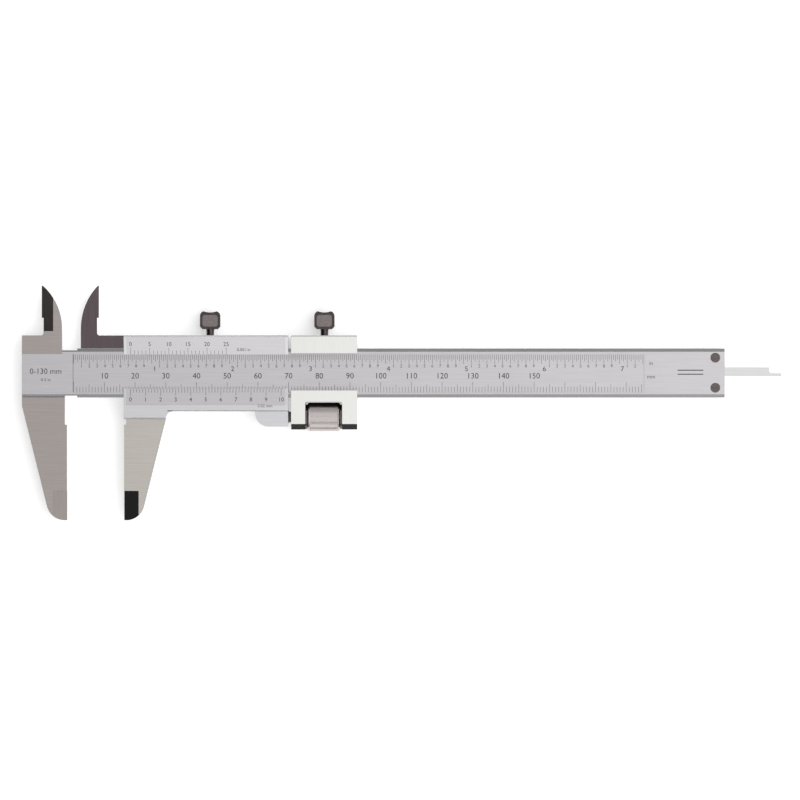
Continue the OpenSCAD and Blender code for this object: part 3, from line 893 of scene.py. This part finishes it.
class CALIPER_OT_slider(bpy.types.Operator):
    """Finish the slider and its moving jaws"""

    bl_idname = "caliper.slider"
    bl_label = "Slider"

    def execute(self, context):
        steel = context.scene.caliper_steel
        materials = [
            satin_slider(steel), ground_moving_jaw(steel), lapped(steel), polished_edge(steel),
            hardened(steel), polished_band(steel),
        ]
        satin, ground, fine, edge, dark, band = range(len(materials))
        jaw_top = BEAM_Y - 15.2 * MM
        jaw_right = MOVING_FACE_X + 16 * MM
        lip_bottom = BEAM_Y - 12.4 * MM
        nib_right = MOVING_FACE_X - 0.1 * MM
        bands = [MOVING_FACE_X + 0.8 * MM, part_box("slider_frame")[1].x - 0.9 * MM]
        flat, lip_flat, vernier_flat = 0.995, 0.9, 0.96

        def choose(face):
            middle = face.calc_center_median()
            # The moving inside jaw's level face is painted nearly black as a painted dark reflection
            if middle.x < nib_right:
                return dark if face.normal.z > LEVEL else fine
            in_band = not bands[0] < middle.x < bands[1]
            if in_band and middle.y > lip_bottom and face.normal.z > lip_flat:
                return band
            in_jaw = middle.y < jaw_top and middle.x < jaw_right
            if not faces_up(face, vernier_flat):
                measuring = abs(face.normal.x) > ENDWISE or abs(face.normal.z) > SLOPED
                return fine if in_jaw and measuring else edge
            # The moving jaw's level face takes the moving jaw colour, brightened as painted light
            if in_jaw:
                return ground if faces_up(face, flat) else fine
            return satin

        slider = finished_copy("slider_frame", steel.edge, materials, choose, bands)
        ready(slider, "slider")
        bar_steel = fine_depth_bar(steel)
        rod = finished_copy("depth_bar", steel.edge, [bar_steel], lambda face: 0)
        ready(rod, "slider")
        return {"FINISHED"}


class CALIPER_OT_carriage(bpy.types.Operator):
    """Finish the feed carriage"""

    bl_idname = "caliper.carriage"
    bl_label = "Feed Carriage"

    def execute(self, context):
        steel = context.scene.caliper_steel
        materials = [polished_carriage(steel), lapped(steel), recess(steel)]
        polished, edge, wall = range(len(materials))
        # Faces in the window, between the washers and below the nut's top, are painted nearly black as
        # painted shade
        margin = 0.2 * MM
        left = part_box("nut_washer_left")[0].x - margin
        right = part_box("nut_washer_right")[1].x + margin
        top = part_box("feed_nut")[1].y + 0.5 * MM

        def choose(face):
            if faces_up(face):
                return polished
            middle = face.calc_center_median()
            return wall if left < middle.x < right and middle.y < top else edge

        piece = finished_copy("feed_carriage", steel.edge, materials, choose)
        ready(piece, "carriage")
        return {"FINISHED"}


class CALIPER_OT_clamps(bpy.types.Operator):
    """Finish the two clamp screws"""

    bl_idname = "caliper.clamps"
    bl_label = "Clamp Screws"

    def execute(self, context):
        steel = context.scene.caliper_steel
        materials = [blackened(steel), blackened_rim(steel)]
        thumb_pad, rim = range(len(materials))
        pad_low = BEAM_Y + 15 * MM
        pad_height = 1.2 * MM
        for body in ("slider_clamp", "carriage_clamp"):
            node = body + "_screw"
            low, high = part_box(node)
            middle_z = (low.z + high.z) / 2

            # Level thumb pads keep the blackened colour; the other faces are darkened as painted shade
            def choose(face):
                place = face.calc_center_median()
                pad = faces_up(face) and place.y > pad_low and abs(place.z - middle_z) < pad_height
                return thumb_pad if pad else rim

            piece = finished_copy(node, 0.6 * steel.edge, materials, choose)
            ready(piece, body)
        return {"FINISHED"}


class CALIPER_OT_feed_nut(bpy.types.Operator):
    """Make the knurled feed nut"""

    bl_idname = "caliper.feed_nut"
    bl_label = "Feed Nut"

    def execute(self, context):
        feed = context.scene.caliper_feed
        steel = context.scene.caliper_steel
        low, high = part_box("feed_nut")
        middle = (low + high) / 2
        radius = (high.z - low.z) / 2
        half = (high.x - low.x) / 2
        bore, end_radius = radii_at("feed_nut", low.x)[0], radii_at("feed_nut", low.x)[-1]
        chamfer = radius - end_radius
        core = radius - feed.knurl_depth
        land = half - feed.nut_end
        groove = 0.12 * MM
        profile = [
            (-half, bore), (-half, end_radius), (-half + chamfer, radius), (-land - groove, radius),
            (-land, core), (land, core), (land + groove, radius), (half - chamfer, radius),
            (half, end_radius), (half, bore),
        ]
        material = knurled_steel(steel)
        body = turned("nut body", profile, sides=96, material=material, bored=True)
        ridges = grown(knurl_tree(), {
            "Ridges": feed.teeth, "Core Radius": core, "Depth": feed.knurl_depth,
            "Length": 2 * land, "Material": material})
        piece = joined("feed_nut_knurled", [body, ridges])
        piece.data.transform(Matrix.Translation(middle))
        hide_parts("feed_nut")
        ready(piece, "nut")
        return {"FINISHED"}


class CALIPER_OT_feed_screw(bpy.types.Operator):
    """Make the feed screw with its thread"""

    bl_idname = "caliper.feed_screw"
    bl_label = "Feed Screw"

    def execute(self, context):
        feed = context.scene.caliper_feed
        steel = context.scene.caliper_steel
        low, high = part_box("feed_screw")
        slider_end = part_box("slider_frame")[1].x
        shoulder = (high.z - low.z) / 2
        shoulder_end = slider_end + feed.shoulder
        root = radii_at("feed_screw", high.x)[-1] - feed.thread_depth
        shank = radii_at("feed_screw", low.x)[-1]
        tip = 0.3 * MM
        profile = [
            (low.x, shank), (slider_end, shank), (slider_end, shoulder), (shoulder_end, shoulder),
            (shoulder_end, root), (high.x - tip, root), (high.x, root - tip),
        ]
        # The feed screw takes the blackened colour darkened as painted shade
        material = blackened_rim(steel)
        stem = turned("stem", profile, sides=40, material=material, bored=False)
        length = high.x - tip - shoulder_end - 2 * feed.thread_pitch
        ridge_height = 0.9 * feed.thread_depth
        ridge = grown(thread_tree(), {
            "Turns": length / feed.thread_pitch, "Radius": root, "Length": length,
            "Ridge": ridge_height, "Material": material})
        ridge.transform(Matrix.Translation((shoulder_end + feed.thread_pitch, 0, 0)))
        piece = joined("feed_screw_threaded", [stem, ridge])
        middle = (low + high) / 2
        piece.data.transform(Matrix.Translation((0, middle.y, middle.z)))
        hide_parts("feed_screw")
        ready(piece, "slider")
        return {"FINISHED"}


class CALIPER_OT_small_parts(bpy.types.Operator):
    """Paint the gibs, screws, pin and washers"""

    bl_idname = "caliper.small_parts"
    bl_label = "Small Parts"

    def execute(self, context):
        steel = context.scene.caliper_steel
        finishes = {
            "gib_bronze": bronze(steel),
            "screw_steel": blackened_screws(steel),
            "stop_steel": satin_beam(steel),
        }
        for part in frame["record"]["subparts"]:
            finish = finishes.get(part["material_slot"])
            if finish:
                node = frame["nodes"][part["node"]]
                for place in node.material_slots:
                    place.material = finish
        return {"FINISHED"}


# ---------------------------------------------------------------- stage


def studio_world(light, floor):
    """Soft light, dark low down, brighter to the right and towards -Y, and a dark card on the left"""
    world = bpy.data.worlds.new("studio")
    bpy.context.scene.world = world
    world.use_nodes = True
    tree = world.node_tree
    tree.nodes.clear()
    place = node_of(tree, "ShaderNodeTexCoord")
    split = node_of(tree, "ShaderNodeSeparateXYZ")
    tree.links.new(place.outputs["Generated"], split.inputs["Vector"])

    ramp = node_of(tree, "ShaderNodeValToRGB")
    # Brightness of the sky from the ground, 0, to straight overhead, 1
    stops = [(0.0, 0.03), (0.14, 0.06), (0.3, 0.33), (0.5, 0.8), (0.8, 0.82), (0.94, 0.72), (1.0, 0.78)]
    while len(ramp.color_ramp.elements) < len(stops):
        ramp.color_ramp.elements.new(0.5)
    for element, (height, level) in zip(ramp.color_ramp.elements, stops):
        element.position = height
        element.color = (level, level, level, 1)
    tree.links.new(split.outputs["Z"], ramp.inputs["Fac"])

    right = map_range(tree, split.outputs["X"], (-0.35, 0.35), (0.4, 1.6))
    front = map_range(tree, split.outputs["Y"], (-0.6, 0.6), (1.11, 0.89))
    side = math_node(tree, "MULTIPLY", right, front)

    card_left, card_low, card_half_width, card_shade = -0.3, 0.45, 0.6, 0.92
    across = math_node(tree, "ABSOLUTE", split.outputs["Y"])
    left = math_node(tree, "LESS_THAN", split.outputs["X"], card_left)
    middle = math_node(tree, "LESS_THAN", across, card_half_width)
    high = math_node(tree, "GREATER_THAN", split.outputs["Z"], card_low)
    card = math_node(tree, "MULTIPLY", math_node(tree, "MULTIPLY", left, middle), high)
    open_sky = math_node(tree, "MULTIPLY_ADD", card, -card_shade, 1.0)
    lit = math_node(tree, "MULTIPLY", open_sky, side)
    strength = math_node(tree, "MULTIPLY", lit, light)

    sky = node_of(tree, "ShaderNodeBackground")
    tree.links.new(ramp.outputs["Color"], sky.inputs["Color"])
    tree.links.new(strength, sky.inputs["Strength"])
    plain = node_of(tree, "ShaderNodeBackground")
    plain.inputs["Color"].default_value = (*floor, 1)
    seen = node_of(tree, "ShaderNodeLightPath")
    mix = node_of(tree, "ShaderNodeMixShader")
    tree.links.new(seen.outputs["Is Camera Ray"], mix.inputs["Fac"])
    tree.links.new(sky.outputs["Background"], mix.inputs[1])
    tree.links.new(plain.outputs["Background"], mix.inputs[2])
    output = node_of(tree, "ShaderNodeOutputWorld")
    tree.links.new(mix.outputs["Shader"], output.inputs["Surface"])


class CALIPER_OT_stage(bpy.types.Operator):
    """Set up the camera, the floor and the light"""

    bl_idname = "caliper.stage"
    bl_label = "Stage"

    def execute(self, context):
        stage = context.scene.caliper_stage
        sensor = 36.0
        camera = bpy.data.cameras.new("camera")
        camera.lens = stage.focal_length
        camera.sensor_width = sensor
        camera.clip_end = 100
        viewer = bpy.data.objects.new("camera", camera)
        context.scene.collection.objects.link(viewer)
        distance = stage.view_width * stage.focal_length / sensor
        viewer.location = (stage.aim[0], stage.aim[1], BEAM_TOP_Z + distance)
        context.scene.camera = viewer

        paper = bpy.data.materials.new("floor")
        paper.use_nodes = True
        surface = paper.node_tree.nodes["Principled BSDF"]
        surface.inputs["Base Color"].default_value = (*stage.floor, 1)
        surface.inputs["Roughness"].default_value = 0.9
        surface.inputs["Specular IOR Level"].default_value = 0.1
        surface.inputs["Emission Color"].default_value = (*stage.floor, 1)
        surface.inputs["Emission Strength"].default_value = stage.floor_glow
        shape = bmesh.new()
        floor_radius = 4
        bmesh.ops.create_circle(shape, cap_ends=True, segments=64, radius=floor_radius)
        mesh = bpy.data.meshes.new("floor")
        mesh.materials.append(paper)
        shape.to_mesh(mesh)
        shape.free()
        link("floor", mesh)

        studio_world(stage.light, stage.floor)
        context.scene.view_settings.view_transform = "Standard"
        return {"FINISHED"}


# ---------------------------------------------------------------- add-on


class CALIPER_PT_panel(bpy.types.Panel):
    """The caliper's operators and settings"""

    bl_label = "Vernier Caliper"
    bl_idname = "CALIPER_PT_panel"
    bl_space_type = "VIEW_3D"
    bl_region_type = "UI"
    bl_category = "Caliper"

    def draw(self, context):
        for group in SETTINGS:
            settings = getattr(context.scene, group)
            box = self.layout.box()
            for key in type(settings).__annotations__:
                box.prop(settings, key)
        for operator in OPERATORS:
            self.layout.operator(operator.bl_idname)


SETTINGS = {
    "caliper_scales": CaliperScaleSettings,
    "caliper_steel": CaliperSteelSettings,
    "caliper_feed": CaliperFeedSettings,
    "caliper_stage": CaliperStageSettings,
}
OPERATORS = (
    CALIPER_OT_beam,
    CALIPER_OT_slider,
    CALIPER_OT_carriage,
    CALIPER_OT_clamps,
    CALIPER_OT_feed_nut,
    CALIPER_OT_feed_screw,
    CALIPER_OT_small_parts,
    CALIPER_OT_beam_scales,
    CALIPER_OT_beam_legends,
    CALIPER_OT_verniers,
    CALIPER_OT_stage,
)


def register():
    """Registers the classes and hangs the settings on the scene"""
    for cls in (*SETTINGS.values(), *OPERATORS, CALIPER_PT_panel):
        bpy.utils.register_class(cls)
    for name, cls in SETTINGS.items():
        setattr(bpy.types.Scene, name, PointerProperty(type=cls))


def unregister():
    """Takes the settings off the scene and unregisters the classes"""
    for name in SETTINGS:
        delattr(bpy.types.Scene, name)
    for cls in (CALIPER_PT_panel, *reversed(OPERATORS), *reversed(SETTINGS.values())):
        bpy.utils.unregister_class(cls)


def main():
    register()
    for operator in OPERATORS:
        group, name = operator.bl_idname.split(".")
        getattr(getattr(bpy.ops, group), name)()


if __name__ == "__main__":
    main()
